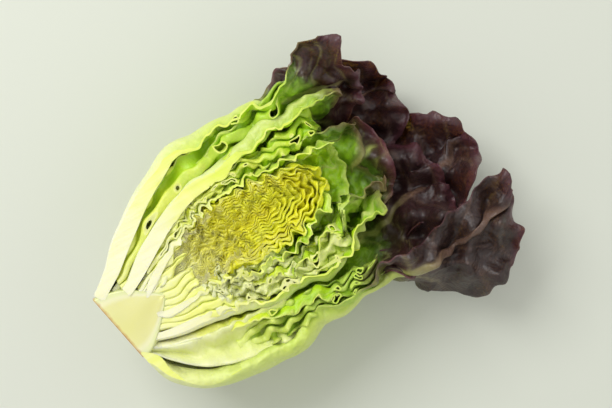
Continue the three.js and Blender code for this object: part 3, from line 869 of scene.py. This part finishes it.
# %% A tree that nests cups
def cup_tree(material):
    tree = bpy.data.node_groups.new("nested_cups", "GeometryNodeTree")
    number, length = "NodeSocketInt", "NodeSocketFloat"
    sizes = [("Layers", number), ("Inner Radius", length), ("Outer Radius", length), ("Root", length),
             ("Inner Tip", length), ("Outer Tip", length), ("Opening", length), ("Rows", number),
             ("Columns", number)]
    for name, kind in sizes:
        tree.interface.new_socket(name, in_out="INPUT", socket_type=kind)
    tree.interface.new_socket("Geometry", in_out="OUTPUT", socket_type="NodeSocketGeometry")
    given = tree.nodes.new("NodeGroupInput").outputs

    def calc(operation, *values):
        return maths(tree, operation, *values)

    line = tree.nodes.new("GeometryNodeMeshLine")
    tree.links.new(given["Layers"], line.inputs["Count"])
    line.inputs["Offset"].default_value = (0, 0, 0)
    numbered = tree.nodes.new("GeometryNodeStoreNamedAttribute")
    numbered.data_type = "FLOAT"
    numbered.inputs["Name"].default_value = "layer"
    index = tree.nodes.new("GeometryNodeInputIndex").outputs[0]
    share = calc("DIVIDE", index, calc("SUBTRACT", given["Layers"], 1.0))
    tree.links.new(line.outputs["Mesh"], numbered.inputs["Geometry"])
    tree.links.new(share, numbered.inputs["Value"])

    grid = tree.nodes.new("GeometryNodeMeshGrid")
    tree.links.new(given["Rows"], grid.inputs["Vertices X"])
    tree.links.new(given["Columns"], grid.inputs["Vertices Y"])
    copies = tree.nodes.new("GeometryNodeInstanceOnPoints")
    tree.links.new(numbered.outputs["Geometry"], copies.inputs["Points"])
    tree.links.new(grid.outputs["Mesh"], copies.inputs["Instance"])
    real = tree.nodes.new("GeometryNodeRealizeInstances")
    tree.links.new(copies.outputs["Instances"], real.inputs["Geometry"])

    layer = tree.nodes.new("GeometryNodeInputNamedAttribute")
    layer.data_type = "FLOAT"
    layer.inputs["Name"].default_value = "layer"
    depth = layer.outputs["Attribute"]
    place = tree.nodes.new("ShaderNodeSeparateXYZ")
    tree.links.new(tree.nodes.new("GeometryNodeInputPosition").outputs[0], place.inputs[0])
    u = calc("ADD", place.outputs["X"], 0.5)
    w = calc("SINE", calc("MULTIPLY", place.outputs["Y"], math.pi))
    profile = tree.nodes.new("ShaderNodeFloatCurve")
    points = profile.mapping.curves[0].points
    points[0].location = (0, 0.3)
    points[1].location = (1, 0.12)
    for x, y in [(0.12, 0.56), (0.32, 0.87), (0.58, 1), (0.82, 0.86), (0.94, 0.5)]:
        points.new(x, y)
    profile.mapping.update()
    tree.links.new(u, profile.inputs["Value"])
    widest = calc("ADD", given["Inner Radius"],
                  calc("MULTIPLY", depth, calc("SUBTRACT", given["Outer Radius"], given["Inner Radius"])))
    radius = calc("MULTIPLY", widest, profile.outputs["Value"])
    tip = calc("ADD", given["Inner Tip"],
               calc("MULTIPLY", depth, calc("SUBTRACT", given["Outer Tip"], given["Inner Tip"])))
    angle = calc("MULTIPLY", w, given["Opening"])
    bent = tree.nodes.new("ShaderNodeCombineXYZ")
    tree.links.new(calc("ADD", given["Root"], calc("MULTIPLY", u, calc("SUBTRACT", tip, given["Root"]))),
                   bent.inputs["X"])
    tree.links.new(calc("MULTIPLY", radius, calc("SINE", angle)), bent.inputs["Y"])
    tree.links.new(calc("MULTIPLY", calc("MULTIPLY", radius, calc("COSINE", angle)), -1.0), bent.inputs["Z"])
    measured = tree.nodes.new("GeometryNodeStoreNamedAttribute")
    measured.data_type = "FLOAT"
    measured.inputs["Name"].default_value = "base"
    tree.links.new(real.outputs["Geometry"], measured.inputs["Geometry"])
    tree.links.new(radius, measured.inputs["Value"])
    moved = tree.nodes.new("GeometryNodeSetPosition")
    tree.links.new(measured.outputs["Geometry"], moved.inputs["Geometry"])
    tree.links.new(bent.outputs[0], moved.inputs["Position"])

    painted = tree.nodes.new("GeometryNodeSetMaterial")
    painted.inputs["Material"].default_value = material
    tree.links.new(moved.outputs["Geometry"], painted.inputs["Geometry"])
    tree.links.new(painted.outputs["Geometry"], tree.nodes.new("NodeGroupOutput").inputs["Geometry"])
    return tree


def grow_cups(name, tree, thickness, **sizes):
    host = new_object(name, bpy.data.meshes.new(name))
    modifier = host.modifiers.new("cups", "NODES")
    modifier.node_group = tree
    sockets = {item.name: item.identifier for item in tree.interface.items_tree if item.in_out == "INPUT"}
    for key, value in sizes.items():
        modifier[sockets[key.replace("_", " ")]] = value
    solidify = host.modifiers.new("thickness", "SOLIDIFY")
    solidify.thickness = thickness
    solidify.offset = 0
    return baked(host)


# %% [markdown]
# The heart's colour is a lemon yellow, palest along the cut edges and at the root, greener outwards. Young
# leaves are thin and let light through, so more of it is scattered under their skin than in the other leaves.

# %% Finish of the heart
def heart_finish(name, tones, roughness):
    material, tree, surface = shader(name, roughness, 0.15)
    uneven = maths(tree, "MULTIPLY_ADD", mottle(tree, 110), 0.3, -0.15)
    ripe = maths(tree, "ADD", attribute(tree, "ripe"), uneven)
    skin = ramp(tree, ripe, tones)
    tree.links.new(skin, surface.inputs["Base Color"])
    surface.inputs["Subsurface Weight"].default_value = 0.8
    surface.inputs["Subsurface Radius"].default_value = (1.0, 1.0, 0.5)
    surface.inputs["Subsurface Scale"].default_value = 0.004
    relief(tree, surface, mottle(tree, 900, 3), 0.0003)
    return material


HEART_TONES = [(0, "f8f8a4"), (0.3, "fcf75c"), (0.6, "fdf528"), (1, "f0f430")]
HEART_EDGE_TONES = [(0, "fbfab0"), (0.3, "fdf87c"), (0.6, "fcf64a"), (1, "f6f848")]
heart_skin = heart_finish("heart_leaf", HEART_TONES, 0.45)
heart_flesh = heart_finish("heart_cut_edge", HEART_EDGE_TONES, 0.4)
cups = cup_tree(heart_skin)
print("nodes in the tree of cups:", len(cups.nodes))

# %% [markdown]
# Solidify has given the cups their thickness. Near the root they stand closer together than they are thick,
# so they are thinned there: cut faces that overlap at one height would shade each other grey. Then they are
# crumpled with the same shared folds as the leaves round them, and the knife cuts them open.

# %% Crumple and cut the heart
CUP_SHARE = 0.8  # how much of the space between two cups their thickness may take
HEART_ROUGH = 0.55


def heart_bunch(name, top, thickness, **sizes):
    mesh = grow_cups(name, cups, thickness * MM, **sizes)
    p = coordinates(mesh)
    layer, base = [read(mesh.attributes[key].data, "value", np.float32) for key in ("layer", "base")]
    base = base / MM
    inner_radius, outer_radius = sizes["Inner_Radius"] / MM, sizes["Outer_Radius"] / MM
    widest = mix(inner_radius, outer_radius, layer)
    spacing = (outer_radius - inner_radius) / (sizes["Layers"] - 1) * base / widest
    x, y, z = p.T / MM
    r = np.hypot(y, z) + 1e-6
    thinner = base + (r - base) * np.minimum(1, CUP_SHARE * spacing / thickness)
    y, z, r = y * thinner / r, z * thinner / r, thinner
    own = smooth(24, 45, x) * np.minimum(1, r / 5)
    push = own * 0.5 * murmur(np.stack([x, 7 * y / r, 7 * z / r], axis=-1), 4.5, 12)
    p = settle(x, y + push * y / r, z + push * z / r)
    p = fold_together(p)
    place_points(mesh, p)
    ripe = 0.12 + 0.5 * smooth(30, 70, p[:, 0]) + 0.3 * layer * smooth(25, 60, p[:, 0])
    keep_on_corners(mesh, {"ripe": ripe})
    mesh = knife(mesh, top, 0, HEART_ROUGH, heart_skin, heart_flesh)
    made = piece(name, mesh, "heart")
    print(name, triangle_count(mesh), "triangles")
    return made


HEART_SIZES = {"Root": 0.021, "Opening": math.radians(112), "Rows": 96}
heart_bunch("heart_inner_leaves", 0.1, 0.88, Layers=7, Inner_Radius=0.0012, Outer_Radius=0.0082,
            Inner_Tip=0.07, Outer_Tip=0.086, Columns=50, **HEART_SIZES)
heart_bunch("heart_outer_leaves", 0, 0.85, Layers=4, Inner_Radius=0.0094, Outer_Radius=0.0132,
            Inner_Tip=0.088, Outer_Tip=0.097, Columns=60, **HEART_SIZES)

# %% [markdown]
# The stem core is the short cone of flesh that every leaf grows from. It is a body of revolution, slightly
# uneven, cut open at the height of the cut face, with a browned butt where it was trimmed from its root.

# %% The stem core
CORE_TONES = [(0, "e0dd8e"), (0.62, "e3e098"), (0.8, "eae9bc"), (0.9, "e2e6ae"), (1, "d8df9c")]


def core_finish():
    material, tree, surface = shader("core_flesh", 0.35, 0.25)
    fibres = mottle(tree, 180, 4, (0.25, 1, 1))
    skin = ramp(tree, attribute(tree, "ripe"), CORE_TONES)
    skin = blend(tree, maths(tree, "MULTIPLY_ADD", fibres, 0.4, -0.1, clamp=True), skin, srgb("e8eabc"))
    place = tree.nodes.new("ShaderNodeSeparateXYZ")
    tree.links.new(tree.nodes.new("ShaderNodeTexCoord").outputs["Object"], place.inputs[0])
    past_butt = maths(tree, "ADD", maths(tree, "MULTIPLY", place.outputs["Y"], BUTT_SLANT),
                      maths(tree, "ADD", place.outputs["X"], REST_PLACE[0] * MM))
    patchy = maths(tree, "MULTIPLY_ADD", mottle(tree, 350), 0.0018, -0.0004)
    brown = maths(tree, "MULTIPLY_ADD", maths(tree, "SUBTRACT", past_butt, patchy), -700.0, 0.5, clamp=True)
    skin = blend(tree, brown, skin, srgb("c08c50"))
    tree.links.new(skin, surface.inputs["Base Color"])
    relief(tree, surface, fibres, 0.0003)
    return material


def core_mesh(rings=60, arc=90, chord=36):
    """A closed body of rings, each an arc below and a straight chord where the knife went."""
    points, ripe = [], []
    for i in range(rings):
        x = CORE_LENGTH * i / (rings - 1)
        radius = float(core_radius(x))
        height = min(CUT_HEIGHT, 0.98 * radius)
        end = math.pi / 2 + math.asin(height / radius)
        for j in range(arc):
            a = end * (2 * j / (arc - 1) - 1)
            r = radius * (1 + 0.02 * math.sin(5 * a + 0.2 * x))
            points.append((x, r * math.sin(a), -r * math.cos(a)))
            ripe.append(1.0)
        left, right = points[-1], points[-arc]
        for j in range(1, chord):
            k = j / chord
            dome = 0.25 * math.sin(math.pi * k) + 0.12 * math.sin(9 * k + 0.4 * x)
            height = mix(left[2], right[2], k) + dome * math.sin(math.pi * k)
            points.append((x, mix(left[1], right[1], k), height))
            ripe.append(abs(2 * k - 1))
    ring = arc + chord - 1
    faces = [tuple(range(ring))[::-1], tuple(range((rings - 1) * ring, rings * ring))]
    for i in range(rings - 1):
        for j in range(ring):
            a, b, c = i * ring + j, i * ring + (j + 1) % ring, (i + 1) * ring
            faces.append((a, b, c + (j + 1) % ring, c + j))
    x, y, z = np.array(points).T
    mesh = bpy.data.meshes.new("stem_core_mesh")
    mesh.from_pydata(((settle(x, y, z) - REST_PLACE) * MM).tolist(), [], faces)
    mesh.polygons.foreach_set("use_smooth", [len(face) == 4 for face in faces])
    keep_on_corners(mesh, {"ripe": np.array(ripe)})
    mesh.materials.append(core_finish())
    return mesh


piece("stem_core_grown", core_mesh(), "stem_core")
print("stem core, mm long:", CORE_LENGTH)
